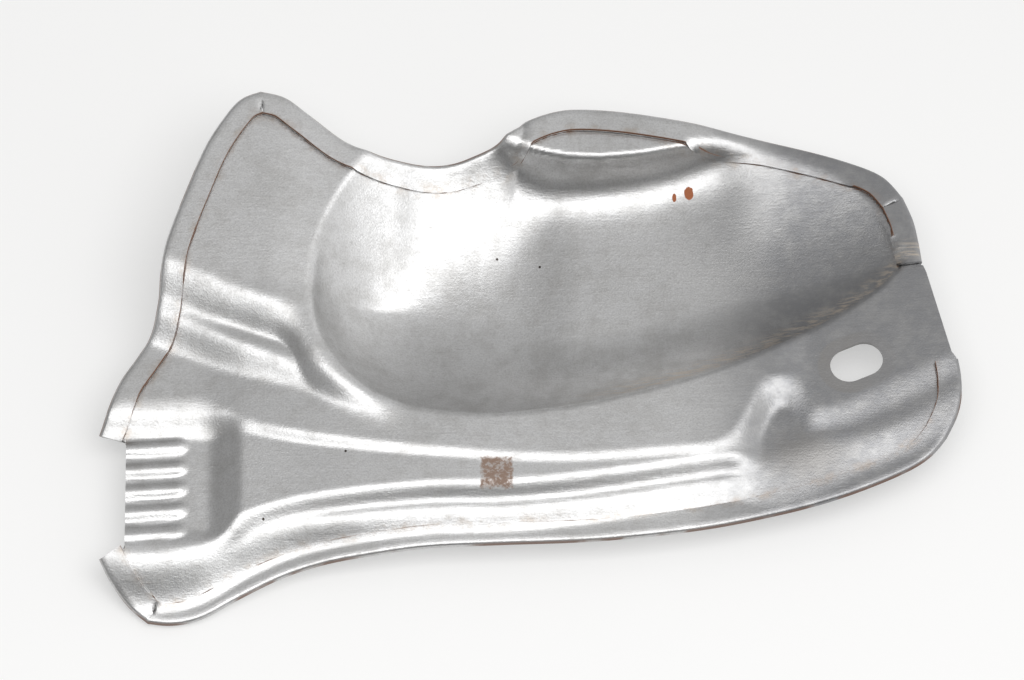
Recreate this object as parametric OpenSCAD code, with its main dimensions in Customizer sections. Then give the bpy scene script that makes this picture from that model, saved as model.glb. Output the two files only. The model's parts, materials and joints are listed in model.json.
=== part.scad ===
// Heat shield pressed from one sheet, with a bowl that clears a round joint,
// a stiffening bead, a ribbed foot, a slotted bolt seat and a hemmed rim.
// The sheet is drawn as it lies, lengthwise along X with its foot at the left,
// and heights are measured from the surface it lies on. At the end it is turned
// so that the bolt slot runs along Y, with the middle of the slot as the origin.

/* [Sheet] */
// Thickness of the sheet
sheet_t = 0.8; // [0.5:0.05:1.5]
// Overall length, hem to hem
body_length = 206; // [150:1:280]
// Overall width, hem to hem
body_width = 134; // [100:1:180]

/* [Hem] */
// Width of the strip that is folded back
hem_w = 4.8; // [3:0.1:6]
// Gap left inside the fold
hem_gap = 0.3; // [0.2:0.05:0.8]
// Height of the rim's fold line above its nominal run
hem_lift = 0; // [0:0.1:2]

/* [Bowl] */
// Depth of the bowl under its rim
bowl_depth = 16; // [10:0.5:20]
// Share of the bowl's width between its front crease and its deepest line
bowl_low_line = 0.44; // [0.35:0.01:0.6]

/* [Stiffening bead] */
// Height of the long bead above the ledge in front of it
bead_h = 2.6; // [1:0.1:4]
// Width of the bead's sloping front flank
bead_flank_w = 5.5; // [4:0.5:8]

/* [Deck] */
// Height of the upper deck's step above the folded shoulder in front of it
deck_step_h = 4.3; // [2:0.1:6]
// Depth of the groove at the foot of that step
groove_depth = 1.2; // [0:0.1:2]

/* [Bolt seat] */
// End-to-end length of the bolt slot
slot_length = 13; // [10:0.5:18]
// Width of the bolt slot
slot_w = 9; // [6:0.1:10]
// Angle of the slot to the length of the shield
slot_turn = 24; // [0:1:45]
// Height of the bolt seat above the ledge in front of it
seat_h = 1.8; // [1:0.1:3]

/* [Ribbed foot] */
// Number of ribs
rib_count = 5; // [3:1:5]
// Distance from rib to rib
rib_pitch = 5.7; // [5.2:0.1:6.2]
// Width of one rib at its foot
rib_w = 4; // [3:0.1:4.6]
// Height of one rib above the foot
rib_h = 1.2; // [0.6:0.1:1.6]
// Length of one rib, from the cut edge to its round end
rib_length = 14.5; // [8:0.5:18]
// Angle of the ribs to the length of the shield
rib_turn = 4; // [0:1:6]

/* [Hidden] */

drawn_length = 206;
drawn_width = 134;
length_k = body_length / drawn_length;
width_k = body_width / drawn_width;

// Outline, as runs of points joined by smooth curves. The rim is hemmed all
// round but for two stretches that are cut straight: the foot and the bolt end.
corner_foot = [-91, -77];
corner_front = [99.5, -32];
corner_back = [90, 32];
corner_deck = [-65, 56];
front_run = [
    corner_foot, [-85, -77.5], [-78, -76], [-69.5, -71.5], [-59, -66.5], [-49, -63.5], [-38.5, -61.8],
    [-24, -60], [-7, -59.3], [17, -58.3], [41, -55.5], [60, -51.5], [74.5, -47.5], [88.5, -41.5],
    [95.5, -37], corner_front
];
back_run = [
    corner_deck, [-59, 54.5], [-53, 50], [-44.5, 43.5], [-37, 41], [-26.5, 40.5], [-17, 42], [-7, 45.5],
    [-1.5, 49], [4.5, 51.2], [11, 52], [21.5, 51.3], [36, 48.8], [50.5, 45.5], [64.5, 42.5], [76.5, 40],
    [85, 37], corner_back
];
foot_run = [corner_foot, [-96, -72.5], [-100, -67.5], [-102.5, -63]];
foot_cut = [[-96.5, -60.5], [-96.5, -31.5]];
deck_run = [
    [-103, -30], [-101, -24.5], [-98, -17], [-94, -10.5], [-90.5, -4], [-89, 3], [-88.5, 9], [-87, 17],
    [-82.5, 30], [-78, 41.5], [-73, 50], [-69.5, 54], corner_deck
];
bolt_run = [corner_front, [102, -26.5], [103.2, -21.5], [103.2, -16], [102.5, -11.5]];
bolt_cut = [[101, -9.5], [95.3, 12]];
brow_run = [[94.3, 14.5], [93.5, 20], [92.3, 26], corner_back];

// Heights of the terraces, from the front hem to the back, as [x, height]
hem_level = [
    [-104, 2], [-96, 0.9], [-88, 0.5], [-79, 0.8], [-60, 3], [-40, 5.3], [-24, 6.3], [17, 6.8], [60, 7.5],
    [88, 8], [104, 8.6]
];
ledge_level = [[-104, 8], [-80, 8], [-60, 8.4], [-40, 9.3], [-12, 9.7], [40, 9.6], [60, 9.6], [75, 9.8], [104, 9.8]];
shoulder_level = [[-104, 10.6], [-80, 10.8], [-66, 12.2], [-48, 13], [-30, 14], [-12, 14.5], [20, 14], [41, 13.3], [58, 12.6]];
seat_level = 9.8 + seat_h;
fold_level = [[-104, 14.8], [-60, 14.8], [-48, 14.6], [-38, 14.2], [-30, 14]];
deck_share = [[-64, 1], [-52, 0.7], [-44, 0.4], [-36, 0.15], [-28, 0]];
back_level = [
    [-104, 21.5], [-80, 22], [-65, 21.5], [-45, 20], [-26, 18.5], [-10, 18.5], [0, 19], [15, 20], [40, 19.5],
    [60, 17.5], [77, 15], [90, 12.6], [96, seat_level]
];

// Lines that the terraces step up along, as [x, y], and the widths of the steps
flange_line = [
    [-104, -66], [-96, -68], [-88, -69], [-79, -67.5], [-69, -63], [-57, -58.5], [-43, -56], [-24, -55],
    [-7, -54.3], [17, -52.5], [41, -50], [60, -46], [72, -40.5], [88, -33.3], [99, -27], [104, -24]
];
flange_slope_w = [[-104, 10], [-79, 12], [-60, 8.5], [-40, 7], [40, 7], [60, 8], [104, 7.5]];
bead_line = [[-104, -60], [-74, -59], [-67, -55.5], [-56, -51.3], [-43, -49], [-25, -47.5], [-7, -46.2], [26, -43.8], [48, -43.3]];
bead_share = [[-80, 0.4], [-68, 1], [48, 1], [56, 0]];
shoulder_line = [
    [-104, -26], [-78, -25], [-67, -29.5], [-48, -33.8], [-21.6, -37], [7, -38.6], [36, -36.5], [46, -35],
    [52, -30], [57, -22], [61, -20], [64.5, -22.5], [68, -27], [72, -26.8], [77, -25.4], [99.5, -13.9],
    [104, -12]
];
shoulder_slope_w = [[-104, 5], [-70, 4.5], [-55, 3.5], [44, 3], [54, 5.5], [62, 5.5], [68, 4], [104, 4]];
fold_line = [[-104, 1], [-85, -4.5], [-69.5, -11.3], [-55, -16.7], [-41, -23.5], [-30, -28]];
fold_slope_w = [[-104, 9], [-55, 8], [-40, 5]];
deck_line = [
    [-104, 12], [-89, 7.3], [-75.5, 1.9], [-64.8, -2], [-57.6, -5.6], [-51.5, -15.5], [-46, -21.5], [-38, -26.5],
    [-30, -29.5]
];
deck_slope_w = [[-104, 6.5], [-60, 6], [-48, 4.5], [-38, 3.5]];
groove_w = 2.6;
groove_back = 4.4;

// Front crease and back line of the bowl, and its depth as a share of the whole
bowl_left = -53.5;
bowl_right = 95.5;
crease_line = [
    [bowl_left, 5], [-52, -4], [-49, -11], [-45, -16.3], [-39.6, -21], [-33, -24], [-26.4, -25.9], [-12, -27.5],
    [2.4, -26.4], [17, -23.7], [41, -16.7], [60, -8.3], [77, 1.5], [89, 12.4], [bowl_right, 18]
];
brow_line = [
    [bowl_left, 6], [-52, 16], [-48, 27], [-42, 37], [-34, 45], [-24, 49], [-12, 48], [-2, 43.5], [6, 40.5],
    [14, 39], [26, 39.3], [41, 40], [52, 39.5], [65, 37], [77, 33], [87, 27], [bowl_right, 19]
];
bowl_share = [
    [bowl_left, 0], [-50, 0.28], [-45, 0.57], [-38, 0.81], [-30, 0.95], [-22, 1], [-12, 0.97], [0, 0.91],
    [10, 0.89], [30, 0.92], [50, 0.92], [65, 0.79], [78, 0.54], [88, 0.26], [bowl_right, 0]
];
back_edge_y = 56;
deck_foot_y = 6;

// The flat foot that carries the ribs
foot_level = 6.4;
foot_end_x = -70.5;
foot_front_y = -62;
foot_back_y = -25.5;
foot_end_slope_w = 6.5;
foot_side_slope_w = 4.5;
foot_mid_y = (foot_front_y + foot_back_y) / 2 - 1.4;

// The middle of the bolt slot
slot_x = 78.2;
slot_y = -12.4;

// Cells of the mesh along and across the sheet
cells_along = 52;
front_corner_rows = 10;
cut_rows = 9;
cells_across = 40;
fold_steps = 3;

fold_r = (sheet_t + hem_gap) / 2;
slope_step = 0.05;
tiny = 0.001;

function clamp(t) = max(0, min(1, t));
function ease(t) = let (c = clamp(t)) c * c * (3 - 2 * c);
function flip(list) = [for (i = [len(list) - 1:-1:0]) list[i]];

// Smooth value at x of a row of [x, value] points
function tangent(points, i) =
    i == 0 || i == len(points) - 1
        ? 0
        : (points[i + 1][1] - points[i - 1][1]) / (points[i + 1][0] - points[i - 1][0]);
function span_of(points, x, i = 0) =
    i >= len(points) - 2 || x < points[i + 1][0] ? i : span_of(points, x, i + 1);
function along(points, x) =
    let (
        c = max(points[0][0], min(points[len(points) - 1][0], x)),
        i = span_of(points, c),
        w = points[i + 1][0] - points[i][0],
        t = (c - points[i][0]) / w
    )
    (2 * t * t * t - 3 * t * t + 1) * points[i][1]
    + (t * t * t - 2 * t * t + t) * w * tangent(points, i)
    + (3 * t * t - 2 * t * t * t) * points[i + 1][1]
    + (t * t * t - t * t) * w * tangent(points, i + 1);

// 0 in front of a line and 1 behind it, over a slope of the given width
function slope_share(x, y, line, w) =
    let (lean = (along(line, x + 0.5) - along(line, x - 0.5)))
    ease((y - along(line, x)) / sqrt(1 + lean * lean) / w + 0.5);

function shoulder_at(x) =
    x > 58 ? seat_level + (12.6 - seat_level) * ease((68 - x) / 10) : along(shoulder_level, x);
function deck_at(x) =
    let (low = fold_at(x)) low + deck_step_h * along(deck_share, x);
function fold_at(x) = x > -30 ? shoulder_at(x) : along(fold_level, x);
function terrace_height(x, y) =
    let (
        z0 = along(hem_level, x) + hem_lift,
        z1 = along(ledge_level, x),
        z2 = z1 + bead_h * along(bead_share, x),
        z3 = shoulder_at(x),
        z4 = fold_at(x),
        z5 = deck_at(x)
    )
    z0
    + (z1 - z0) * slope_share(x, y, flange_line, along(flange_slope_w, x))
    + (z2 - z1) * slope_share(x, y, bead_line, bead_flank_w)
    + (z3 - z2) * slope_share(x, y, shoulder_line, along(shoulder_slope_w, x))
    + (z4 - z3) * slope_share(x, y, fold_line, along(fold_slope_w, x))
    + (z5 - z4) * slope_share(x, y, deck_line, along(deck_slope_w, x));

function groove(x, y) =
    x > -50
        ? 0
        : let (off = (y - along(deck_line, x) + groove_back) / groove_w)
          groove_depth * exp(-off * off) * ease((x + 100) / 30) * ease((-50 - x) / 7);

// Share of the way from the bowl's front crease to its back line
function bowl_share_at(x, y) =
    let (front = along(crease_line, x), back = along(brow_line, x))
    clamp((y - front) / (back - front));

// Rise of the sheet from the shoulder or deck to the back edge
function back_rise(x, y) =
    let (
        beside = clamp((y - deck_foot_y) / (back_edge_y - deck_foot_y)),
        within = x > bowl_left && x < bowl_right ? bowl_share_at(x, y) : beside,
        mix = ease((x - bowl_left) / 30)
    )
    (along(back_level, x) - deck_at(x)) * (mix * within + (1 - mix) * beside);

// Depth of the bowl: a crisp front crease, a soft back at the left and a
// steep back wall at the right
function bowl(x, y) =
    x <= bowl_left || x >= bowl_right
        ? 0
        : let (
            q = bowl_share_at(x, y),
            front = (bowl_low_line - q) / bowl_low_line,
            back = (q - bowl_low_line) / (1 - bowl_low_line),
            soft = 0.5 + 0.5 * cos(180 * back),
            steep = 1 - back * back * back,
            mix = ease((x + 12) / 26)
        )
        bowl_depth * along(bowl_share, x) * (front > 0 ? 1 - front * front : soft + (steep - soft) * mix);

// Share of the flat foot at a place: 1 on the foot and 0 past its walls
function foot_share(x, y) =
    ease((foot_end_x - x) / foot_end_slope_w)
    * ease((foot_back_y - y) / foot_side_slope_w)
    * ease((y - foot_front_y) / foot_side_slope_w);

// Height of the middle of the sheet at a place on the plan
function height(px, py) =
    let (
        x = px / length_k,
        y = py / width_k,
        free = terrace_height(x, y) - groove(x, y) + back_rise(x, y) - bowl(x, y),
        share = foot_share(x, y)
    )
    free + (foot_level - free) * share;

function place(p) = [p.x, p.y, height(p.x, p.y)];
function normal(p) =
    let (
        z = height(p.x, p.y),
        lean_x = (height(p.x + slope_step, p.y) - z) / slope_step,
        lean_y = (height(p.x, p.y + slope_step) - z) / slope_step,
        n = [-lean_x, -lean_y, 1]
    )
    n / norm(n);

// A run of points as a smooth curve, cut into a given number of equal cells
function bend(p0, p1, p2, p3, t) =
    0.5 * (2 * p1 + (p2 - p0) * t + (2 * p0 - 5 * p1 + 4 * p2 - p3) * t * t
           + (3 * p1 - p0 - 3 * p2 + p3) * t * t * t);
function smooth(run, steps = 6) =
    let (last = len(run) - 1)
    [
        for (i = [0:last - 1])
            for (k = [0:steps - 1])
                bend(run[max(0, i - 1)], run[i], run[i + 1], run[min(last, i + 2)], k / steps),
        run[last]
    ];
function lengths(line, i = 1, sum = 0) =
    i > len(line) - 1
        ? [sum]
        : concat([sum], lengths(line, i + 1, sum + norm(line[i] - line[i - 1])));
function point_at(line, far, s) =
    let (
        i = max([for (k = [0:len(far) - 2]) if (far[k] <= s) k]),
        t = (s - far[i]) / (far[i + 1] - far[i])
    )
    line[i] + (line[i + 1] - line[i]) * min(1, t);
function even(run, cells) =
    let (line = smooth(run), far = lengths(line), total = far[len(far) - 1])
    [for (k = [0:cells]) point_at(line, far, total * k / cells)];

// The same, with closer cells beside the bowl's left rim
crowding = 0.025;
crowd_place = 0.25;
function crowded(t) = t - crowding * (sin(360 * (t - crowd_place)) + sin(360 * crowd_place));
function uneven(run, cells) =
    let (line = smooth(run), far = lengths(line), total = far[len(far) - 1])
    [for (k = [0:cells]) point_at(line, far, total * crowded(k / cells))];
function scaled(line) = [for (p = line) [p.x * length_k, p.y * width_k]];

// The four sides of the rim, each from the front or from the foot end
side_front = scaled(uneven(front_run, cells_along));
side_back = scaled(uneven(back_run, cells_along));
foot_rows = 6;
deck_rows = cells_across - foot_rows - cut_rows - 2;
side_foot = scaled(concat(even(foot_run, foot_rows), even(foot_cut, cut_rows), even(deck_run, deck_rows)));
brow_rows = cells_across - front_corner_rows - cut_rows - 2;
side_bolt = scaled(concat(even(bolt_run, front_corner_rows), even(bolt_cut, cut_rows), even(brow_run, brow_rows)));

// The rim as one loop that starts at the foot corner and runs along the front
function open_end(list) = [for (i = [0:len(list) - 2]) list[i]];
rim = concat(open_end(side_front), open_end(side_bolt), open_end(flip(side_back)), open_end(flip(side_foot)));
rim_count = len(rim);

// Stretches of the rim that are hemmed, as first and last place in the loop
bolt_hem_last = cells_along + front_corner_rows;
brow_hem_first = bolt_hem_last + cut_rows + 2;
deck_hem_last = 2 * cells_along + cells_across + deck_rows;
foot_hem_first = deck_hem_last + cut_rows + 2;
hems = [[foot_hem_first - rim_count, bolt_hem_last], [brow_hem_first, deck_hem_last]];

// Direction into the sheet at each place of the rim. At the end of a hem it
// leans along the hem, so that the strip ends over the sheet.
end_lean = 0.3;
function in_loop(i) = (i + rim_count) % rim_count;
function unit(v) = v / norm(v);
function is_hem_start(i) = len([for (h = hems) if (in_loop(h[0]) == i) 1]) > 0;
function is_hem_end(i) = len([for (h = hems) if (in_loop(h[1]) == i) 1]) > 0;
function left_of(v) = [-v.y, v.x];
function inward(i) =
    let (
        here = rim[i],
        ahead = unit(rim[in_loop(i + 1)] - here),
        behind = unit(here - rim[in_loop(i - 1)])
    )
    is_hem_start(i)
        ? unit(left_of(ahead) + end_lean * ahead)
        : is_hem_end(i)
            ? unit(left_of(behind) - end_lean * behind)
            : is_hem_start(in_loop(i + 1))
                ? left_of(behind)
                : is_hem_end(in_loop(i - 1)) ? left_of(ahead) : unit(left_of(ahead + behind));
rim_in = [for (i = [0:rim_count - 1]) inward(i)];
inner_rim = [for (i = [0:rim_count - 1]) rim[i] + rim_in[i] * hem_w];

// Plan of the sheet inside the hem, blended from its four sides
function front_at(i) = inner_rim[i];
function bolt_at(j) = inner_rim[cells_along + j];
function back_at(i) = inner_rim[2 * cells_along + cells_across - i];
function foot_at(j) = inner_rim[in_loop(rim_count - j)];
function plan(i, j) =
    let (s = i / cells_along, t = j / cells_across)
    (1 - t) * front_at(i) + t * back_at(i) + (1 - s) * foot_at(j) + s * bolt_at(j)
    - (1 - s) * (1 - t) * front_at(0) - s * (1 - t) * front_at(cells_along)
    - (1 - s) * t * back_at(0) - s * t * back_at(cells_along);

inner_plan = [for (j = [0:cells_across]) for (i = [0:cells_along]) plan(i, j)];
sheet_plan = concat(inner_plan, rim);
sheet_mid = [for (p = sheet_plan) place(p)];
sheet_normal = [for (p = sheet_plan) normal(p)];
sheet_count = len(sheet_plan);
inner_count = len(inner_plan);
top_points = [for (k = [0:sheet_count - 1]) sheet_mid[k] + sheet_normal[k] * sheet_t / 2];
low_points = [for (k = [0:sheet_count - 1]) sheet_mid[k] - sheet_normal[k] * sheet_t / 2];

// Place of a cell corner, a rim point and the inner rim point beside it
function cell(i, j) = j * (cells_along + 1) + i;
function at_rim(i) = inner_count + in_loop(i);
function beside_rim(k) =
    let (i = in_loop(k))
    i < cells_along
        ? cell(i, 0)
        : i < cells_along + cells_across
            ? cell(cells_along, i - cells_along)
            : i < 2 * cells_along + cells_across
                ? cell(2 * cells_along + cells_across - i, cells_across)
                : cell(0, rim_count - i);

// Skins of the hem at one place of the rim: the outer skin and the inner skin
// of the fold, then the two faces of the strip
function fold_points(i, side) =
    let (
        b = at_rim(i),
        n = sheet_normal[b],
        flat_out = -rim_in[in_loop(i)],
        raw = [flat_out.x, flat_out.y, 0],
        out = unit(raw - n * (raw * n)),
        centre = sheet_mid[b] + n * fold_r
    )
    [
        for (k = [1:fold_steps])
            let (a = 180 * k / fold_steps, ray = out * sin(a) - n * cos(a))
            centre + ray * (fold_r + side * sheet_t / 2)
    ];
function strip_point(i, side) =
    let (b = beside_rim(i))
    sheet_mid[b] + sheet_normal[b] * (2 * fold_r + side * sheet_t / 2);
hem_rows = fold_steps + 1;
function hem_points(i) =
    concat(fold_points(i, 1), [strip_point(i, 1)], fold_points(i, -1), [strip_point(i, -1)]);
hem_length = [for (h = hems) h[1] - h[0] + 1];
all_hem_points = [for (h = hems) for (i = [h[0]:h[1]]) each hem_points(i)];
sheet_points = concat(top_points, low_points, all_hem_points);

// Place of a hem point in the list: row 0 is the rim of the sheet itself
function hem_start(h) = 2 * sheet_count + (h == 0 ? 0 : hem_length[0] * 2 * hem_rows);
function outer_at(h, n, row) =
    row == 0 ? sheet_count + at_rim(hems[h][0] + n) : hem_start(h) + n * 2 * hem_rows + row - 1;
function inner_at(h, n, row) =
    row == 0 ? at_rim(hems[h][0] + n) : hem_start(h) + n * 2 * hem_rows + hem_rows + row - 1;

// Two triangles for a cell, split along whichever diagonal is more level, so
// that ridges and creases run along an edge
function two_sides(a, b, c, d) = [[a, b, c], [a, c, d]];
function drop(a, b) = abs(sheet_points[a].z - sheet_points[b].z);
function level_sides(a, b, c, d) =
    drop(a, c) <= drop(b, d) + tiny ? two_sides(a, b, c, d) : two_sides(b, c, d, a);
function skin_cells(shift, up) =
    [
        for (j = [0:cells_across - 1])
            for (i = [0:cells_along - 1])
                let (a = cell(i, j), b = cell(i + 1, j), c = cell(i + 1, j + 1), d = cell(i, j + 1))
                each up
                    ? level_sides(shift + a, shift + d, shift + c, shift + b)
                    : level_sides(shift + a, shift + b, shift + c, shift + d)
    ];
function skin_border(shift, up) =
    [
        for (i = [0:rim_count - 1])
            let (a = at_rim(i), b = at_rim(i + 1), c = beside_rim(i + 1), d = beside_rim(i))
            each up
                ? two_sides(shift + a, shift + d, shift + c, shift + b)
                : two_sides(shift + a, shift + b, shift + c, shift + d)
    ];
function cut_edge(first, last) =
    [
        for (i = [first:last - 1])
            let (a = at_rim(i), b = at_rim(i + 1))
            each two_sides(sheet_count + a, a, b, sheet_count + b)
    ];
function hem_skin(h) =
    [
        for (n = [0:hem_length[h] - 2])
            for (row = [0:hem_rows - 1])
                each concat(
                    two_sides(outer_at(h, n, row), outer_at(h, n, row + 1), outer_at(h, n + 1, row + 1), outer_at(h, n + 1, row)),
                    two_sides(inner_at(h, n, row), inner_at(h, n + 1, row), inner_at(h, n + 1, row + 1), inner_at(h, n, row + 1))
                )
    ];
function hem_edge(h) =
    [
        for (n = [0:hem_length[h] - 2])
            each two_sides(outer_at(h, n, hem_rows), inner_at(h, n, hem_rows), inner_at(h, n + 1, hem_rows), outer_at(h, n + 1, hem_rows))
    ];
function hem_cap(h, n, start) =
    [
        for (row = [0:hem_rows - 1])
            let (a = outer_at(h, n, row), b = inner_at(h, n, row), c = inner_at(h, n, row + 1), d = outer_at(h, n, row + 1))
            each start ? two_sides(a, b, c, d) : two_sides(a, d, c, b)
    ];

module pressed_sheet() {
    faces = concat(
        skin_cells(0, true),
        skin_border(0, true),
        skin_cells(sheet_count, false),
        skin_border(sheet_count, false),
        cut_edge(hems[0][1], hems[1][0]),
        cut_edge(hems[1][1], hems[0][0] + rim_count),
        [for (h = [0, 1]) each hem_skin(h)],
        [for (h = [0, 1]) each hem_edge(h)],
        [for (h = [0, 1]) each hem_cap(h, 0, true)],
        [for (h = [0, 1]) each hem_cap(h, hem_length[h] - 1, false)]
    );
    polyhedron(points = sheet_points, faces = faces, convexity = 12);
}

// Round rods that shape the ribs, with a ball at the end of each
rib_r = (rib_w * rib_w / 4 + rib_h * rib_h) / (2 * rib_h);
foot_top = foot_level + sheet_t / 2;
cut_x = foot_cut[0].x * length_k;
rib_mid_y = foot_mid_y * width_k;
rib_set_back = 0.15;
module rods(r, past_edge) {
    for (k = [0:rib_count - 1])
        translate([cut_x, rib_mid_y + (k - (rib_count - 1) / 2) * rib_pitch, foot_top + rib_h - rib_r])
            rotate([0, 0, rib_turn]) {
                translate([-past_edge, 0, 0])
                    rotate([0, 90, 0])
                        cylinder(h = rib_length - rib_w / 2 + past_edge, r = r, $fn = 48);
                translate([rib_length - rib_w / 2, 0, 0])
                    sphere(r = r, $fn = 48);
            }
}
module rib_tops() {
    intersection() {
        rods(rib_r, 2);
        translate([cut_x + rib_set_back, rib_mid_y - rib_count * rib_pitch, foot_level])
            cube([2 * rib_length, 2 * rib_count * rib_pitch, 2 * rib_r]);
    }
}

// Bolt slot, as two round ends and the straight part between them
seat_top = seat_level + sheet_t / 2;
module slot_cutter() {
    slot_r = slot_w / 2;
    half_run = slot_length / 2 - slot_r;
    depth = 6;
    translate([slot_x * length_k, slot_y * width_k, seat_level - depth / 2])
        rotate([0, 0, slot_turn]) {
            for (side = [-1, 1])
                translate([side * half_run, 0, 0])
                    cylinder(h = depth, r = slot_r, $fn = 64);
            translate([-half_run, -slot_r, 0])
                cube([2 * half_run, slot_w, depth]);
        }
}

module heat_shield() {
    color([0.66, 0.65, 0.63])
        rotate([0, 0, 90 - slot_turn])
            translate([-slot_x * length_k, -slot_y * width_k, -seat_top])
                difference() {
                    union() {
                        pressed_sheet();
                        rib_tops();
                    }
                    rods(rib_r - sheet_t, 2);
                    slot_cutter();
                }
}

heat_shield();
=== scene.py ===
# Heat shield pressed from one sheet of aluminised steel, lying hem side up on
# a pale table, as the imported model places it. The sheet's sizes are in
# millimetres on its plan, and the last step of its mesh turns them into metres.
import json
import math

import bmesh
import bpy
import numpy as np
from mathutils import Matrix, Vector


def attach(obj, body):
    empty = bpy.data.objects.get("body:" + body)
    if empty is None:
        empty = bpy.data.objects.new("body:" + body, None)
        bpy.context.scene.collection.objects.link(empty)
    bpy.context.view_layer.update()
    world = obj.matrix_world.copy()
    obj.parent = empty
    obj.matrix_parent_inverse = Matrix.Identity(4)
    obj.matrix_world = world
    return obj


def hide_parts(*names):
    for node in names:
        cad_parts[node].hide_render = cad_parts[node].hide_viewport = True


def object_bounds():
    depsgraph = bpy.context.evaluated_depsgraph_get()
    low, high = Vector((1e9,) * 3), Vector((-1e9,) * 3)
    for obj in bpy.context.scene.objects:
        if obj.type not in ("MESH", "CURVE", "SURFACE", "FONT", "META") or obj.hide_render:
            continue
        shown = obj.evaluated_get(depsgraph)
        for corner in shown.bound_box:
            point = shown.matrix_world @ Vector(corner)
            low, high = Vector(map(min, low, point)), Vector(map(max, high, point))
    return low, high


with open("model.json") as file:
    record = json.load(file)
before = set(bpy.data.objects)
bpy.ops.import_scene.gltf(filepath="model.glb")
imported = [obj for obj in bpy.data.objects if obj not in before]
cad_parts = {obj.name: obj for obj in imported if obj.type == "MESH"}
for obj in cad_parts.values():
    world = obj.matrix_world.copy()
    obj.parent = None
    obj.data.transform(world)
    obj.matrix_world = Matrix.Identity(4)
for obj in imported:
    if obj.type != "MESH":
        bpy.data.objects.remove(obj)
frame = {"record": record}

cad_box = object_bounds()

# The sheet
# One blank of 0.8 mm aluminised steel, pressed in one hit into the bowl, the
# stiffening bead, the ribbed foot and the bolt seat, with the slot pierced
# and the rim folded back on the hem side.
MM = 0.001
slot_mount = next(m for m in frame["record"]["mounts"] if m["name"] == "bolt_slot")
slot_length = slot_mount["dims"]["slot_length_mm"]
slot_r = slot_mount["dims"]["hole_r_mm"]
slot_turn = math.radians(24)
seat_top = 12
slot_middle = np.array([78.2, -12.4, seat_top])
drawn_turn = math.pi / 2 - slot_turn


def lay(points):
    """Places on the plan, in millimetres, as places in the model, in metres.

    The plan has the shield lengthwise along X and the table at 0. The model
    has the middle of the bolt slot as origin, with the slot along Y.
    """
    drawn = np.asarray(points, float) - slot_middle
    c, s = math.cos(drawn_turn), math.sin(drawn_turn)
    x = drawn[..., 0] * c - drawn[..., 1] * s
    y = drawn[..., 0] * s + drawn[..., 1] * c
    return np.stack([x, y, drawn[..., 2]], axis=-1) * MM


sheet_t = 0.8
hem_w = 4.8
hem_gap = 0.3

# Its outline on the plan: four corners, and the runs of places between them.
# The foot's end and the bolt's end are cut, and have no hem there.
corner_foot = [-91, -77]
corner_front = [99.5, -32]
corner_back = [90, 32]
corner_deck = [-65, 56]
front_run = [
    corner_foot, [-85, -77.5], [-78, -76], [-69.5, -71.5], [-59, -66.5], [-49, -63.5], [-38.5, -61.8],
    [-24, -60], [-7, -59.3], [17, -58.3], [41, -55.5], [60, -51.5], [74.5, -47.5], [88.5, -41.5],
    [95.5, -37], corner_front,
]
back_run = [
    corner_deck, [-59, 54.5], [-53, 50], [-44.5, 43.5], [-37, 41], [-26.5, 40.5], [-17, 42], [-7, 46],
    [-1.5, 50.1], [4.5, 52.9], [11, 54.2], [21.5, 53.8], [36, 51.6], [50.5, 48.8], [64.5, 45.7], [76.5, 42],
    [85, 38], corner_back,
]
foot_run = [corner_foot, [-96, -72.5], [-100, -67.5], [-102.5, -63]]
foot_cut = [[-96.5, -60.5], [-96.5, -31.5]]
deck_run = [
    [-103, -30], [-101, -24.5], [-98, -17], [-94, -10.5], [-90.5, -4], [-89, 3], [-88.5, 9], [-87, 17],
    [-82.5, 30], [-78, 41.5], [-73, 50], [-69.5, 54], corner_deck,
]
bolt_run = [corner_front, [102, -26.5], [103.2, -21.5], [103.2, -16], [102.5, -11.5]]
bolt_cut = [[101, -9.5], [95.3, 12]]
brow_run = [[94.3, 14.5], [93.5, 20], [92.3, 26], corner_back]

# Levels above the table, from the front rim to the back one, each a row of
# [x, level]. A share is the part of a step that is there at x.
hem_level = [
    [-104, 2], [-96, 0.9], [-88, 0.5], [-79, 0.8], [-60, 3.4], [-40, 5.8], [-24, 6.8], [17, 7.2], [60, 7.7],
    [74, 8.6], [88, 8.9], [104, 9.4],
]
ledge_level = [
    [-104, 8], [-80, 8], [-60, 8.4], [-40, 9.3], [-12, 9.7], [40, 9.6], [58, 9.6], [70, 10.5], [104, 10.7],
]
shoulder_level = [
    [-104, 10.2], [-80, 10.3], [-66, 11.6], [-48, 12.7], [-30, 13.1], [-12, 13.2], [20, 13], [41, 12.8],
    [58, 12.6],
]
seat_level = seat_top - sheet_t / 2
seat_x = 68
bead_h = 2.4
fold_level = [[-104, 14.8], [-60, 14.8], [-48, 14.4], [-38, 13.6], [-30, 13.1]]
deck_step_h = 4
deck_share = [[-64, 1], [-52, 0.7], [-44, 0.4], [-36, 0.15], [-28, 0]]
back_level = [
    [-104, 21.5], [-80, 22], [-65, 21.5], [-45, 20], [-26, 18.5], [-10, 17.5], [0, 16.5], [15, 15.5],
    [38, 14.8], [50, 12.8], [60, 11.6], [77, 11.5], [90, seat_level],
]

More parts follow.
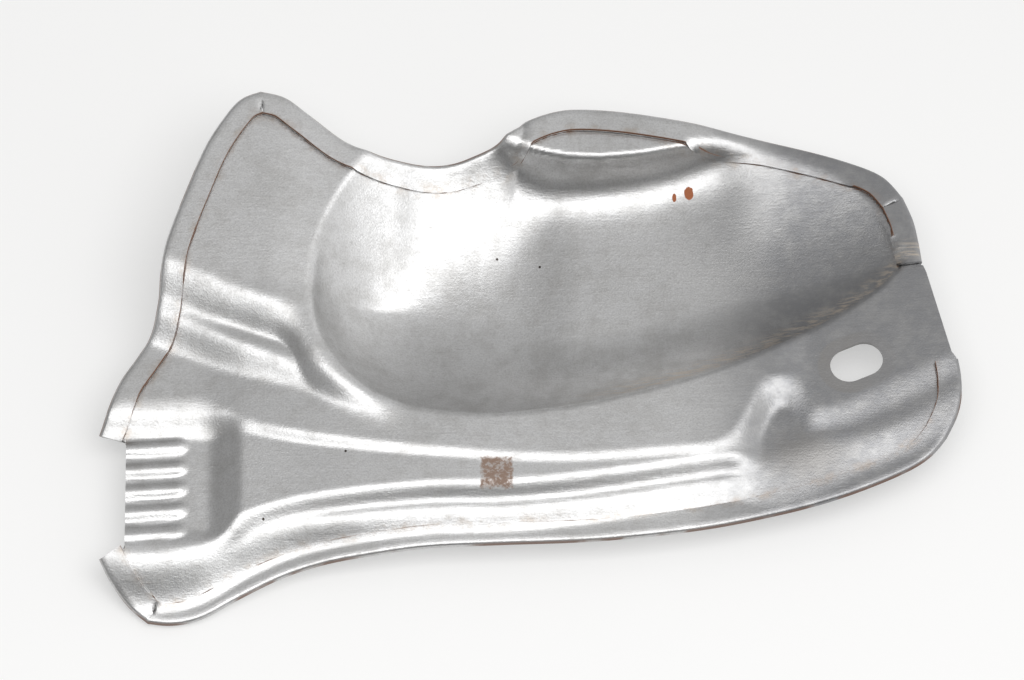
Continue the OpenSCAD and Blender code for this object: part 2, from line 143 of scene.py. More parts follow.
# The lines between those levels on the plan, and how wide each slope is
flange_line = [
    [-104, -66], [-96, -68], [-88, -68], [-79, -66], [-69, -61.4], [-57, -57.4], [-43, -55.4], [-24, -53.6],
    [-7, -53.2], [7, -52], [21.6, -50], [41, -46.6], [60, -43], [72, -39], [88, -33], [99, -27],
    [104, -24],
]
flange_slope_w = [
    [-104, 14], [-79, 14], [-60, 10], [-40, 7.5], [40, 7], [50, 8], [58, 16], [70, 16], [80, 11], [104, 11],
]
bead_line = [
    [-104, -59], [-74, -58], [-67, -54], [-56, -50.6], [-43, -48.6], [-24, -46.9], [-7, -46.6], [7, -45.4],
    [21.6, -43.3], [41, -40.1], [48, -39.2],
]
bead_share = [[-80, 0.4], [-68, 1], [48, 1], [56, 0]]
bead_flank_w = 5
shoulder_line = [
    [-104, -26], [-78, -25], [-67, -29.5], [-48, -33.8], [-21.6, -37], [7, -38.6], [36, -36.5], [46, -35],
    [52, -30], [57, -22], [61, -20], [64.5, -22.5], [68, -27], [72, -26.8], [77, -25.4], [99.5, -13.9],
    [104, -12],
]
shoulder_slope_w = [
    [-104, 8], [-78, 8], [-68, 4.5], [-55, 3.4], [44, 3.4], [54, 7.5], [62, 8.5], [68, 7], [76, 8],
    [104, 8],
]
fold_line = [[-104, 1], [-85, -4.5], [-69.5, -11.3], [-55, -16.7], [-41, -23.5], [-30, -28]]
fold_slope_w = [[-104, 12], [-70, 10], [-55, 8], [-40, 5]]
deck_line = [
    [-104, 12], [-89, 7.3], [-75.5, 1.9], [-64.8, -2], [-57.6, -5.6], [-51.5, -15.5], [-46, -21.5],
    [-38, -26.5], [-30, -29.5],
]
deck_slope_w = [[-104, 12], [-75, 11], [-60, 10], [-48, 8], [-38, 7]]

# The groove in front of the deck
groove_depth = 0.8
groove_w = 2.6
groove_back = 4.4
groove_left, groove_left_fade = -100, 30
groove_right, groove_right_fade = -50, 7

# The bowl: its front crease and its brow on the plan, and its depth along X.
# Its right part is a trough with a level floor.
bowl_depth = 16
bowl_low_line = 0.44
bowl_left = -53.5
bowl_right = 91.5
crease_line = [
    [bowl_left, 5], [-52, -4], [-49, -11], [-45, -16.3], [-39.6, -21], [-33, -24], [-26.4, -25.9],
    [-12, -27.5], [2.4, -26.4], [17, -23.7], [41, -16.7], [60, -8.3], [77, 1.8], [85, 8.2],
    [bowl_right, 14.5],
]
brow_line = [
    [bowl_left, 6], [-52, 16], [-48, 27], [-42, 37], [-34, 45], [-24, 49], [-12, 48], [-2, 44.5], [6, 42.6],
    [14, 42], [26, 43], [35, 44.8], [44, 46.4], [52, 45.6], [65, 42], [76, 36.7], [84, 28.5],
    [bowl_right, 15.5],
]
trough_level = [
    [-12, 1], [10, 2.8], [30, 3.6], [50, 4.6], [65, 6.2], [77, 8], [86, 10], [bowl_right, seat_level],
]
trough_left = -14
trough_mix_w = 26
trough_front = 0.36
trough_back = 0.3
trough_lean = [[30, 0.1], [44, 0.35], [58, 1]]
wall_power = 12
bowl_share = [
    [bowl_left, 0], [-50, 0.26], [-45, 0.54], [-38, 0.77], [-30, 0.89], [-22, 0.93], [-12, 0.91], [0, 0.86],
    [14, 0.84],
]
back_power = [
    [bowl_left, 1.3], [-42, 1.05], [-33, 1.15], [-26, 1.6], [-18, 2.1], [-7, 2.8], [0, 5], [7, 9],
]
bowl_mix_w = 30
back_edge_y = 56
deck_foot_y = 6

# The broken foot with its five ribs
foot_level = 7
foot_end_x = -68.2
foot_front_y = -62
foot_back_y = -24.8
foot_end_slope_w = 9.5
foot_side_slope_w = 7
rib_count = 5
rib_pitch = 5.7
rib_w = 3.6
rib_h = 1
rib_length = 14.5
rib_turn = math.radians(4)
rib_mid_y = -45.2

# The crimp at the back rim
crimp_x, crimp_y = -2.6, 42
crimp_lean = 0.15
crimp_w = 1.1
crimp_h = 0.5
crimp_front, crimp_fade = 33, 6


def clamp(t):
    return np.clip(t, 0, 1)


def ease(t):
    c = clamp(t)
    return c * c * (3 - 2 * c)


def along(points, x):
    """Smooth value at x of a row of [x, value] points."""
    px, pv = np.array(points, float).T
    lean = np.zeros(len(px))
    lean[1:-1] = (pv[2:] - pv[:-2]) / (px[2:] - px[:-2])
    c = np.clip(x, px[0], px[-1])
    i = np.clip(np.searchsorted(px, c, side="right") - 1, 0, len(px) - 2)
    w = px[i + 1] - px[i]
    t = (c - px[i]) / w
    from_low = (2 * t**3 - 3 * t**2 + 1) * pv[i] + (t**3 - 2 * t**2 + t) * w * lean[i]
    from_high = (3 * t**2 - 2 * t**3) * pv[i + 1] + (t**3 - t**2) * w * lean[i + 1]
    return from_low + from_high


def slope_share(x, y, line, w):
    """0 in front of a line and 1 behind it, over a slope of the given width."""
    lean = along(line, x + 0.5) - along(line, x - 0.5)
    return ease((y - along(line, x)) / np.sqrt(1 + lean * lean) / w + 0.5)


def shoulder_at(x):
    """The shoulder's level, which falls to the bolt seat's past its last point."""
    last_x, last_level = shoulder_level[-1]
    down = ease((seat_x - x) / (seat_x - last_x))
    return np.where(x > last_x, seat_level + (last_level - seat_level) * down, along(shoulder_level, x))


def fold_at(x):
    return np.where(x > fold_level[-1][0], shoulder_at(x), along(fold_level, x))


def deck_at(x):
    return fold_at(x) + deck_step_h * along(deck_share, x)


def terrace_height(x, y):
    """The steps of the sheet from the front rim to the deck, one behind another."""
    z0 = along(hem_level, x)
    z1 = along(ledge_level, x)
    z2 = z1 + bead_h * along(bead_share, x)
    z3 = shoulder_at(x)
    z4 = fold_at(x)
    z5 = deck_at(x)
    z = z0 + (z1 - z0) * slope_share(x, y, flange_line, along(flange_slope_w, x))
    z = z + (z2 - z1) * slope_share(x, y, bead_line, bead_flank_w)
    z = z + (z3 - z2) * slope_share(x, y, shoulder_line, along(shoulder_slope_w, x))
    z = z + (z4 - z3) * slope_share(x, y, fold_line, along(fold_slope_w, x))
    return z + (z5 - z4) * slope_share(x, y, deck_line, along(deck_slope_w, x))


def groove(x, y):
    """The shallow groove in front of the deck."""
    off = (y - along(deck_line, x) + groove_back) / groove_w
    ends = ease((x - groove_left) / groove_left_fade) * ease((groove_right - x) / groove_right_fade)
    return groove_depth * np.exp(-off * off) * ends


def bowl_share_at(x, y):
    """0 at the front crease of the bowl and 1 at its brow."""
    front, back = along(crease_line, x), along(brow_line, x)
    return clamp((y - front) / (back - front))


def back_rise(x, y):
    """How far the sheet has risen from the deck's level to the back rim's."""
    beside = clamp((y - deck_foot_y) / (back_edge_y - deck_foot_y))
    over_bowl = (x > bowl_left) & (x < bowl_right)
    within = np.where(over_bowl, bowl_share_at(x, y), beside)
    mix = ease((x - bowl_left) / bowl_mix_w)
    return (along(back_level, x) - deck_at(x)) * (mix * within + (1 - mix) * beside)


def bowl(x, y):
    """The deep left end of the bowl, with a soft back, as depth below its rim."""
    q = bowl_share_at(x, y)
    front = (bowl_low_line - q) / bowl_low_line
    back = (q - bowl_low_line) / (1 - bowl_low_line)
    up = np.where(front > 0, front**2, clamp(back) ** along(back_power, x))
    depth = bowl_depth * along(bowl_share, x) * (1 - up)
    return np.where((x > bowl_left) & (x < bowl_right), depth, 0)


def trough(x, y):
    """The long right end of the bowl: a level floor and a steep back wall."""
    q = bowl_share_at(x, y)
    low, front, back = along(trough_level, x), shoulder_at(x), along(back_level, x)
    down = clamp((trough_front - q) / trough_front) ** 2
    up = clamp((q - trough_back) / (1 - trough_back))
    lean = along(trough_lean, x)
    return low + (front - low) * down + (back - low) * (lean * up**2 + (1 - lean) * up**wall_power)


def foot_share(x, y):
    """1 on the level foot that carries the ribs, and 0 round it."""
    return (
        ease((foot_end_x - x) / foot_end_slope_w)
        * ease((foot_back_y - y) / foot_side_slope_w)
        * ease((y - foot_front_y) / foot_side_slope_w)
    )


def ribs(x, y):
    """Height of the five ribs, each a round-ended arch from the cut edge."""
    arch_r = (rib_w**2 / 4 + rib_h**2) / (2 * rib_h)
    height = np.zeros(np.shape(x))
    for k in range(rib_count):
        from_x = x - foot_cut[0][0]
        from_y = y - (rib_mid_y + (k - (rib_count - 1) / 2) * rib_pitch)
        run = from_x * math.cos(rib_turn) + from_y * math.sin(rib_turn)
        off = from_y * math.cos(rib_turn) - from_x * math.sin(rib_turn)
        past = np.maximum(run - (rib_length - rib_w / 2), 0)
        far = np.hypot(off, past)
        arch = np.sqrt(np.maximum(arch_r**2 - far**2, 0)) - (arch_r - rib_h)
        height = np.maximum(height, arch)
    return height


def crimp(x, y):
    """A pinch at the back rim, where the sheet was gathered by the press."""
    off = (x - crimp_x - crimp_lean * (y - crimp_y)) / crimp_w
    return crimp_h * np.exp(-off * off) * ease((y - crimp_front) / crimp_fade)


def sheet_height(x, y):
    """The height of the middle of the sheet at a place of the plan."""
    terraces = terrace_height(x, y)
    left = terraces - groove(x, y) + back_rise(x, y) - bowl(x, y)
    behind = (y > along(crease_line, x)) & (x < bowl_right)
    right = np.where(behind, trough(x, y), terraces + (x >= bowl_right) * back_rise(x, y))
    free = left + (right - left) * ease((x - trough_left) / trough_mix_w)
    return free + (foot_level - free) * foot_share(x, y) + ribs(x, y) - crimp(x, y)


def sheet_normal(x, y):
    """The direction square to the sheet at a place of the plan."""
    step = 0.05
    z = sheet_height(x, y)
    lean_x = (sheet_height(x + step, y) - z) / step
    lean_y = (sheet_height(x, y + step) - z) / step
    n = np.stack([-lean_x, -lean_y, np.ones_like(z)], axis=-1)
    return n / np.linalg.norm(n, axis=-1, keepdims=True)


def even(run, cells):
    """A smooth curve through the points of a run, cut into equal cells."""
    p = np.array(run, float)
    steps = 8
    t = np.arange(steps)[:, None] / steps
    line = []
    for i in range(len(p) - 1):
        p0, p1, p2, p3 = p[max(0, i - 1)], p[i], p[i + 1], p[min(len(p) - 1, i + 2)]
        linear = 2 * p1 + (p2 - p0) * t
        square = (2 * p0 - 5 * p1 + 4 * p2 - p3) * t**2
        cube = (3 * p1 - p0 - 3 * p2 + p3) * t**3
        line.append(0.5 * (linear + square + cube))
    line = np.vstack(line + [p[-1:]])
    far = np.concatenate([[0], np.cumsum(np.linalg.norm(np.diff(line, axis=0), axis=1))])
    at = np.linspace(0, far[-1], cells + 1)
    return np.stack([np.interp(at, far, line[:, 0]), np.interp(at, far, line[:, 1])], axis=-1)


# How many cells the mesh has along each side and along each stretch of the ends
cells_along = 220
cells_across = 150
foot_rows, to_foot_rows, cut_rows, from_foot_rows = 16, 2, 42, 2
deck_rows = cells_across - foot_rows - to_foot_rows - cut_rows - from_foot_rows
bolt_rows, to_bolt_rows, bolt_cut_rows, from_bolt_rows = 32, 4, 46, 4
brow_rows = cells_across - bolt_rows - to_bolt_rows - bolt_cut_rows - from_bolt_rows


def joined(*runs):
    return np.vstack([run[:-1] for run in runs[:-1]] + [runs[-1]])


outline_front = even(front_run, cells_along)
outline_back = even(back_run, cells_along)
outline_foot = joined(
    even(foot_run, foot_rows),
    even([foot_run[-1], foot_cut[0]], to_foot_rows),
    even(foot_cut, cut_rows),
    even([foot_cut[1], deck_run[0]], from_foot_rows),
    even(deck_run, deck_rows),
)
outline_bolt = joined(
    even(bolt_run, bolt_rows),
    even([bolt_run[-1], bolt_cut[0]], to_bolt_rows),
    even(bolt_cut, bolt_cut_rows),
    even([bolt_cut[1], brow_run[0]], from_bolt_rows),
    even(brow_run, brow_rows),
)
outline = np.vstack([outline_front[:-1], outline_bolt[:-1], outline_back[:0:-1], outline_foot[:0:-1]])
rim_count = len(outline)
brow_first = cells_along + bolt_rows + to_bolt_rows + bolt_cut_rows + from_bolt_rows
deck_last = 2 * cells_along + cells_across + deck_rows
foot_first = deck_last + from_foot_rows + cut_rows + to_foot_rows - rim_count
hems = [range(foot_first, cells_along + bolt_rows + 1), range(brow_first, deck_last + 1)]


def left_of(v):
    return np.stack([-v[..., 1], v[..., 0]], axis=-1)


def unit(v):
    return v / np.linalg.norm(v, axis=-1, keepdims=True)


def inward(line):
    """Directions into the sheet along an open line of the outline."""
    steps = unit(np.diff(line, axis=0))
    return unit(left_of(np.vstack([steps[:1], steps[:-1] + steps[1:], steps[-1:]])))


# The rim of the flat sheet lies inside the outline by what the fold takes up
fold_r = (sheet_t + hem_gap) / 2
rim = outline.copy()
rim_in = np.zeros_like(outline)
for hem in hems:
    places = np.array(hem) % rim_count
    rim_in[places] = inward(outline[places])
    rim[places] = outline[places] + rim_in[places] * (fold_r + sheet_t / 2)

side_front = rim[: cells_along + 1]
side_bolt = rim[cells_along : cells_along + cells_across + 1]
side_back = rim[cells_along + cells_across : 2 * cells_along + cells_across + 1][::-1]
side_foot = np.vstack([rim[2 * cells_along + cells_across :], rim[:1]])[::-1]
ease_rounds = 60


def blended():
    """Places of the sheet, blended from the four sides of its rim and then eased apart."""
    s = np.linspace(0, 1, cells_along + 1)[:, None, None]
    t = np.linspace(0, 1, cells_across + 1)[None, :, None]
    corners = (
        (1 - s) * (1 - t) * side_front[0]
        + s * (1 - t) * side_front[-1]
        + s * t * side_back[-1]
        + (1 - s) * t * side_back[0]
    )
    grid = (1 - t) * side_front[:, None] + t * side_back[:, None] - corners
    grid = grid + (1 - s) * side_foot[None] + s * side_bolt[None]
    for _ in range(ease_rounds):
        around = grid[:-2, 1:-1] + grid[2:, 1:-1] + grid[1:-1, :-2] + grid[1:-1, 2:]
        grid[1:-1, 1:-1] = around / 4
    return grid


plan = blended()
sheet = bmesh.new()
fold_layer = sheet.verts.layers.float.new("fold_turn")
seam_layer = sheet.verts.layers.float.new("seam_mm")
slot_layer = sheet.verts.layers.float.new("slot_mm")
crease_layer = sheet.verts.layers.float.new("crease_mm")
middle_layer = sheet.verts.layers.float.new("middle_mm")
bmesh.ops.create_grid(sheet, x_segments=cells_along, y_segments=cells_across, size=1)
rim_loop = [None] * rim_count
for vert in sheet.verts:
    i = round((vert.co.x + 1) / 2 * cells_along)
    j = round((vert.co.y + 1) / 2 * cells_across)
    vert.co = [*plan[i, j], 0]
    if j == 0:
        rim_loop[i] = vert
    elif i == cells_along:
        rim_loop[cells_along + j] = vert
    elif j == cells_across:
        rim_loop[2 * cells_along + cells_across - i] = vert
    elif i == 0:
        rim_loop[rim_count - j] = vert

flat = np.array([v.co[:] for v in sheet.verts])
raised = np.stack([flat[:, 0], flat[:, 1], sheet_height(flat[:, 0], flat[:, 1])], axis=-1)
for vert, place in zip(sheet.verts, raised):
    vert.co = place


def widen(chain):
    """Extrudes a chain of edges and gives the new corners in order."""
    edges = [sheet.edges.get(pair) for pair in zip(chain, chain[1:])]
    made = bmesh.ops.extrude_edge_only(sheet, edges=edges)["geom"]
    fresh = {g for g in made if isinstance(g, bmesh.types.BMVert)}
    return [next(e.other_vert(v) for e in v.link_edges if e.other_vert(v) in fresh) for v in chain]


# The hem: a round fold at the rim, and the strip that lies back over the sheet
fold_cells = 6
strip_cells = 5
finer = 4
strip_edges = []
for hem in hems:
    places = np.array(hem) % rim_count
    chain = [rim_loop[i] for i in places]
    edge, into = rim[places], rim_in[places]
    normal = sheet_normal(edge[:, 0], edge[:, 1])
    out = np.concatenate([-into, np.zeros((len(places), 1))], axis=1)
    out = unit(out - normal * np.sum(out * normal, axis=1, keepdims=True))
    base = np.column_stack([edge, sheet_height(edge[:, 0], edge[:, 1])])
    for k in range(1, fold_cells + 1):
        turn = math.pi * k / fold_cells
        ring = base + normal * fold_r + fold_r * (out * math.sin(turn) - normal * math.cos(turn))
        chain = widen(chain)
        for vert, place in zip(chain, ring):
            vert.co = place
            vert[fold_layer] = math.sin(turn)
    for k in range(1, strip_cells + 1):
        under = edge + into * hem_w * k / strip_cells
        over = sheet_normal(under[:, 0], under[:, 1])
        strip = np.column_stack([under, sheet_height(under[:, 0], under[:, 1])]) + over * 2 * fold_r
        chain = widen(chain)
        for vert, place in zip(chain, strip):
            vert.co = place
            vert[fold_layer] = 0
    steps = np.arange(finer)[:, None, None] / finer
    strip_edges.append((under[None, :-1] * (1 - steps) + under[None, 1:] * steps).reshape(-1, 2))

# The pierced slot: faces inside its outline go, and the edge left is drawn onto it
slot_run = slot_length / 2 - slot_r
slot_way = np.array([math.cos(slot_turn), math.sin(slot_turn)])
slot_side = left_of(slot_way)


def slot_frame(co):
    off = np.array(co[:2]) - slot_middle[:2]
    return off @ slot_way, off @ slot_side


def from_slot_edge(co):
    run, side = slot_frame(co)
    return math.hypot(max(abs(run) - slot_run, 0), side) - slot_r


punched = [f for f in sheet.faces if from_slot_edge(f.calc_center_median()) < 0]
near_slot = {v for f in punched for v in f.verts}
bmesh.ops.delete(sheet, geom=punched, context="FACES")
for vert in [v for v in near_slot if v.is_valid]:
    run, side = slot_frame(vert.co)
    core = max(-slot_run, min(slot_run, run))
    away = unit(np.array([run - core, side]))
    on_edge = slot_middle[:2] + slot_way * (core + away[0] * slot_r) + slot_side * away[1] * slot_r
    vert.co.x, vert.co.y = on_edge

# How far each place is from the hem's inner edge, the slot and the bowl's front
# crease, and how high the middle of the sheet is there
seam_reach = 10
strip_edges = np.vstack(strip_edges)
for vert in sheet.verts:
    far = strip_edges - np.array(vert.co[:2])
    vert[seam_layer] = min(math.sqrt(np.min(np.sum(far * far, axis=1))), seam_reach)
    vert[slot_layer] = from_slot_edge(vert.co)
    vert[crease_layer] = vert.co.y - float(along(crease_line, vert.co.x))
    vert[middle_layer] = vert.co.z

for vert in sheet.verts:
    vert.co = lay(vert.co[:])
for edge in sheet.edges:
    edge.smooth = not edge.is_boundary
bmesh.ops.recalc_face_normals(sheet, faces=sheet.faces[:])
sheet_mesh = bpy.data.meshes.new("shield_sheet")
sheet.to_mesh(sheet_mesh)
sheet.free()
sheet_mesh.shade_smooth()
shield = bpy.data.objects.new("shield_sheet", sheet_mesh)
bpy.context.collection.objects.link(shield)
wall = shield.modifiers.new("thickness", "SOLIDIFY")
wall.thickness = sheet_t * MM
wall.offset = 0

# Its material: a satin coating of aluminium with a fine grain, worn and stained, with painted shade at its
# right end, on the ledge and in the seam, and a painted highlight behind the bowl's front crease
steel = bpy.data.materials.new("aluminised_steel")
steel.use_nodes = True
nodes, links = steel.node_tree.nodes, steel.node_tree.links
shader = nodes["Principled BSDF"]
shader.inputs["Metallic"].default_value = 1


def node(kind, **settings):
    made = nodes.new(kind)
    for name, value in settings.items():
        setattr(made, name, value)
    return made


def feed(socket, value):
    if isinstance(value, bpy.types.NodeSocket):
        links.new(value, socket)
    else:
        socket.default_value = value


def math_node(operation, *values):
    made = node("ShaderNodeMath", operation=operation)
    for socket, value in zip(made.inputs, values):
        feed(socket, value)
    return made.outputs[0]


def multiply(one, other):
    return math_node("MULTIPLY", one, other)


def ramp(value, low, high, to_low=0, to_high=1):
    made = node("ShaderNodeMapRange", interpolation_type="SMOOTHSTEP")
    for socket, given in zip(made.inputs, (value, low, high, to_low, to_high)):
        feed(socket, given)
    return made.outputs[0]


def blend(share, low, high):
    made = node("ShaderNodeMix", data_type="RGBA")
    feed(made.inputs[0], share)
    feed(made.inputs[6], low)
    feed(made.inputs[7], high)
    return made.outputs[2]


def noise(where, scale, detail=3, rough=0.5):
    made = node("ShaderNodeTexNoise")
    links.new(where, made.inputs["Vector"])
    made.inputs["Scale"].default_value = scale
    made.inputs["Detail"].default_value = detail
    made.inputs["Roughness"].default_value = rough
    return made.outputs["Fac"]


def mapped(where, place=(0, 0, 0), turn=0, scale=(1, 1, 1)):
    made = node("ShaderNodeMapping")
    links.new(where, made.inputs["Vector"])
    made.inputs["Location"].default_value = place
    made.inputs["Rotation"].default_value = (0, 0, turn)
    made.inputs["Scale"].default_value = scale
    return made.outputs[0]


def attribute(name):
    return node("ShaderNodeAttribute", attribute_name=name).outputs["Fac"]


own = node("ShaderNodeTexCoord").outputs["Object"]
drawn = mapped(own, slot_middle, -drawn_turn, (1 / MM, 1 / MM, 1 / MM))
parts = node("ShaderNodeSeparateXYZ")
links.new(drawn, parts.inputs[0])
drawn_x, drawn_y, drawn_z = parts.outputs
grain = noise(drawn, 2.4, 2)
mottle = noise(drawn, 0.22, 6, 0.7)
cloud = noise(drawn, 0.05, 3)
brush = noise(mapped(drawn, turn=math.radians(-24), scale=(0.12, 1.3, 1)), 1, 4, 0.6)


def ragged(measure, pattern, by):
    """A measure in which a pattern stirs up the edge."""
    return math_node("MULTIPLY_ADD", math_node("SUBTRACT", pattern, 0.5), by, measure)


def from_middle(place, size):
    """0 at a place of the plan and 1 on the oval of a given half size round it."""
    centred = mapped(drawn, (-place[0] / size[0], -place[1] / size[1], 0), 0, (1 / size[0], 1 / size[1], 0))
    far = node("ShaderNodeVectorMath", operation="LENGTH")
    links.new(centred, far.inputs[0])
    return far.outputs["Value"]


def spot(place, size, wobble=0.35):
    """1 on a round stain of ragged outline."""
    return ramp(ragged(from_middle(place, size), noise(drawn, 0.7, 4, 0.6), 2 * wobble), 1.08, 0.92)


def soft_spot(place, size):
    """1 in the middle of a cloudy stain and 0 at its edge."""
    return ramp(ragged(from_middle(place, size), mottle, 0.8), 1.1, 0.3)


def most(*values):
    top = values[0]
    for value in values[1:]:
        top = math_node("MAXIMUM", top, value)
    return top


top_side = ramp(math_node("SUBTRACT", drawn_z, attribute("middle_mm")), -0.3, -0.1)


def on_top(value):
    """A mark that the sheet has on its upper side only."""
    return multiply(top_side, value)


# The coating: clean and dull in clouds, with painted shade that darkens it towards the bolt's end
clean = (0.64, 0.64, 0.64, 1)
dull_and_shaded = (0.46, 0.455, 0.445, 1)
end_shade_grey = (0.24, 0.243, 0.255, 1)
dark = (0.30, 0.29, 0.28, 1)
dullness = multiply(ramp(math_node("ADD", mottle, multiply(cloud, 0.4)), 0.55, 0.95), 0.7)
# Painted shade: the coating is darker towards the right, and darkest near the bolt's end
right_end_shade = ramp(drawn_x, 20, 80, 0, 0.9)
colour = blend(most(dullness, right_end_shade), clean, dull_and_shaded)
far_end_shade = ramp(math_node("MULTIPLY_ADD", cloud, 30, drawn_x), 48, 82)
colour = blend(multiply(far_end_shade, ramp(mottle, 0.3, 0.62, 0.5, 0.85)), colour, end_shade_grey)
colour = blend(multiply(ramp(brush, 0.60, 0.78), 0.35), colour, dark)
colour = blend(ramp(grain, 0.35, 0.75, 0, 0.3), colour, dark)

# Dirt along the hem's inner edge
seam_mm = attribute("seam_mm")
seam_dirt = (0.42, 0.33, 0.25, 1)
seam_stain = multiply(ramp(seam_mm, 2.2, 0.2), ramp(mottle, 0.45, 0.7, 0, 0.45))
colour = blend(on_top(seam_stain), colour, seam_dirt)

# The dull ring that the bolt's washer has left round the slot
washer = multiply(ramp(attribute("slot_mm"), 3.4, 2.6), ramp(drawn_x, 86, 73, 0.25, 0.8))
colour = blend(multiply(washer, ramp(mottle, 0.35, 0.65, 0.5, 1)), colour, dark)

# Warm streaks with a painted highlight, lightening the band just behind the bowl's front crease
crease_mm = attribute("crease_mm")
crease_sheen_colour = (0.66, 0.57, 0.47, 1)
crease_sheen_band = multiply(ramp(crease_mm, 8, 2.5), ramp(crease_mm, 0.3, 1.5))
crease_sheen_streaks = multiply(crease_sheen_band, multiply(ramp(drawn_x, 5, 30), ramp(brush, 0.42, 0.62)))
colour = blend(on_top(multiply(crease_sheen_streaks, 0.6)), colour, crease_sheen_colour)

# Painted shade: a dark cloud on the ledge, in front of the bead's end, that dims the highlight there
ledge_painted_shade = multiply(soft_spot((66, -37), (13, 8)), ramp(cloud, 0.3, 0.6, 0.6, 1))
colour = blend(on_top(multiply(ledge_painted_shade, 0.75)), colour, dark)

# Rust and painted shade in the open seam, and ragged brown marks on the outside of the fold
brown = (0.16, 0.075, 0.04, 1)
seam = on_top(ramp(seam_mm, 0.27, 0.1))
outer = multiply(ramp(attribute("fold_turn"), 0.5, 0.95), ramp(noise(drawn, 0.06, 4), 0.46, 0.56, 0, 0.8))
colour = blend(most(seam, outer), colour, brown)

# The squarish rust patch on the shoulder
patch_middle = (-7.9, -42.4)
patch_colour = (0.21, 0.125, 0.08, 1)
across = math_node("ABSOLUTE", math_node("SUBTRACT", drawn_x, patch_middle[0]))
upward = math_node("ABSOLUTE", math_node("SUBTRACT", drawn_y, patch_middle[1]))
patch_edge = ragged(math_node("MAXIMUM", across, upward), noise(drawn, 0.7, 5, 0.7), 3)
patch = multiply(ramp(patch_edge, 4.2, 3.4), ramp(noise(drawn, 0.9, 5, 0.7), 0.38, 0.55, 0.4, 0.9))
patch = on_top(patch)
colour = blend(patch, colour, patch_colour)

# Two orange rust spots on the bowl's back wall
orange = (0.36, 0.12, 0.05, 1)
spots = on_top(most(spot((38.4, 36.6), (1.1, 1.5)), spot((34.9, 35.8), (0.5, 1.0))))
colour = blend(spots, colour, orange)

# Four small dark pits
pit_colour = (0.06, 0.05, 0.045, 1)
pit_places = ((-7.9, 20.5), (2.4, 18.5), (-63.5, -53.4), (-44.0, -36.5))
pits = most(*[spot(place, (0.3, 0.33), 0.15) for place in pit_places])
colour = blend(on_top(pits), colour, pit_colour)
links.new(colour, shader.inputs["Base Color"])

# The brown marks (rust, the seam's painted shade and the fold's brown) aren't metallic and are rougher than
# the coating
brown_marks = most(seam, outer, patch, spots)
links.new(math_node("SUBTRACT", 1, multiply(brown_marks, 0.85)), shader.inputs["Metallic"])
rough = math_node("MULTIPLY_ADD", mottle, 0.2, 0.22)
rough = math_node("MULTIPLY_ADD", brush, 0.1, rough)
links.new(most(rough, multiply(brown_marks, 0.75)), shader.inputs["Roughness"])
bump = node("ShaderNodeBump")
bump.inputs["Strength"].default_value = 1
bump.inputs["Distance"].default_value = 0.04 * MM
relief = math_node("MULTIPLY_ADD", mottle, 1.5, math_node("MULTIPLY_ADD", brush, 0.7, grain))
links.new(relief, bump.inputs["Height"])
links.new(bump.outputs[0], shader.inputs["Normal"])
sheet_mesh.materials.append(steel)
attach(shield, "root")
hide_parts("heat_shield")

# The table
# A plain sheet of pale paper under the shield, which also fills the
# background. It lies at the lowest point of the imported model.
table_half = 3
paper_sheet = bmesh.new()
bmesh.ops.create_grid(paper_sheet, x_segments=1, y_segments=1, size=table_half)
bmesh.ops.translate(paper_sheet, verts=paper_sheet.verts[:], vec=(0, 0, cad_box[0][2]))
table_mesh = bpy.data.meshes.new("table")
paper_sheet.to_mesh(table_mesh)
paper_sheet.free()
table = bpy.data.objects.new("table", table_mesh)
bpy.context.collection.objects.link(table)
paper = bpy.data.materials.new("white_paper")
paper.use_nodes = True
paper_shader = paper.node_tree.nodes["Principled BSDF"]
paper_shader.inputs["Base Color"].default_value = (0.9, 0.897, 0.89, 1)
paper_shader.inputs["Roughness"].default_value = 0.9
nodes, links = paper.node_tree.nodes, paper.node_tree.links
rays = node("ShaderNodeLightPath").outputs
shown = most(rays["Is Camera Ray"], rays["Is Glossy Ray"], rays["Is Transmission Ray"])
glow = node("ShaderNodeEmission")
glow.inputs["Color"].default_value = (0.94, 0.94, 0.935, 1)
lit = node("ShaderNodeMixShader")
links.new(multiply(shown, 0.45), lit.inputs[0])
links.new(paper_shader.outputs[0], lit.inputs[1])
links.new(glow.outputs[0], lit.inputs[2])
links.new(lit.outputs[0], nodes["Material Output"].inputs["Surface"])
table_mesh.materials.append(paper)

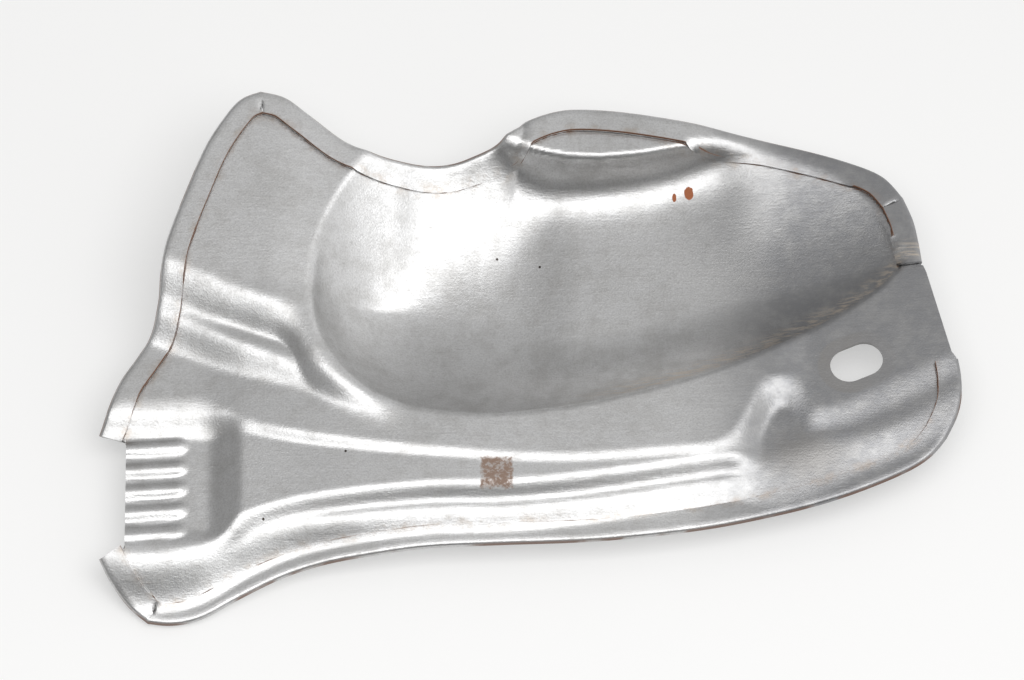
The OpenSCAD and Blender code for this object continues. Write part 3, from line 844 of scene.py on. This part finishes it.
# The studio
# One large softbox, 1.12 by 0.8 m, above the front of the shield, and a white
# room that is lighter at the right, has a window there and is dim in front.
key_way = np.array([0.12, -0.356, 0.92])
key_far = 900
key_wide = 1.12
key_deep = 0.8
key = bpy.data.lights.new("softbox", "AREA")
key.shape = "RECTANGLE"
key.size = key_wide
key.size_y = key_deep
key.energy = 6
lamp = bpy.data.objects.new("softbox", key)
lamp.location = Vector(lay(key_way * key_far))
aim = (Vector(lay([0, 0, 0])) - lamp.location).normalized()
wide_way = Vector((math.cos(drawn_turn), math.sin(drawn_turn), 0))
wide_way = (wide_way - aim * wide_way.dot(aim)).normalized()
lamp.rotation_euler = Matrix((wide_way, aim.cross(wide_way), -aim)).transposed().to_euler()
bpy.context.collection.objects.link(lamp)

world = bpy.data.worlds.new("studio")
bpy.context.scene.world = world
world.use_nodes = True
nodes, links = world.node_tree.nodes, world.node_tree.links
looking = node("ShaderNodeTexCoord").outputs["Generated"]


def room_towards(*way):
    """1 where the room is seen straight along a way of the plan, and less beside it."""
    made = node("ShaderNodeVectorMath", operation="DOT_PRODUCT")
    links.new(looking, made.inputs[0])
    made.inputs[1].default_value = Vector(lay(np.array(way) * 1000 + slot_middle)).normalized()
    return made.outputs["Value"]


up = node("ShaderNodeSeparateXYZ")
links.new(looking, up.inputs[0])
right_side = ramp(room_towards(0.75, 0.25, 0.61), 0.36, 0.54, 0.36, 0.60)
low_walls = ramp(up.outputs[2], 0.45, 0.05, 0, 0.25)
window = ramp(room_towards(0.85, 0, 0.53), 0.5, 0.85, 0, 0.35)
dim_front = ramp(room_towards(0, -0.94, 0.34), 0.8, 0.95, 1, 0.3)
room = multiply(math_node("ADD", math_node("ADD", right_side, low_walls), window), dim_front)
links.new(room, nodes["Background"].inputs["Strength"])
nodes["Background"].inputs["Color"].default_value = (1, 1, 1, 1)

# The camera
# It looks down on the shield at the photograph's angle, along the plan's +Y,
# from far off, so that the perspective is as weak as in the photograph.
view_rise = math.radians(62)
view_middle = lay([-4.3, -4.3, 8])
lens = 450
mm_per_pixel = 0.24
sensor_w = 36
picture_w = 1024
camera_far = lens / (sensor_w / picture_w) * mm_per_pixel * MM
camera_data = bpy.data.cameras.new("camera")
camera_data.lens = lens
camera_data.sensor_width = sensor_w
camera_data.clip_end = 10
camera = bpy.data.objects.new("camera", camera_data)
bpy.context.collection.objects.link(camera)
level, down = math.cos(view_rise), -math.sin(view_rise)
looks = Vector((-math.sin(drawn_turn) * level, math.cos(drawn_turn) * level, down))
camera.location = Vector(view_middle) - looks * camera_far
camera.rotation_euler = looks.to_track_quat("-Z", "Y").to_euler()
bpy.context.scene.camera = camera
bpy.context.scene.view_settings.view_transform = "Standard"
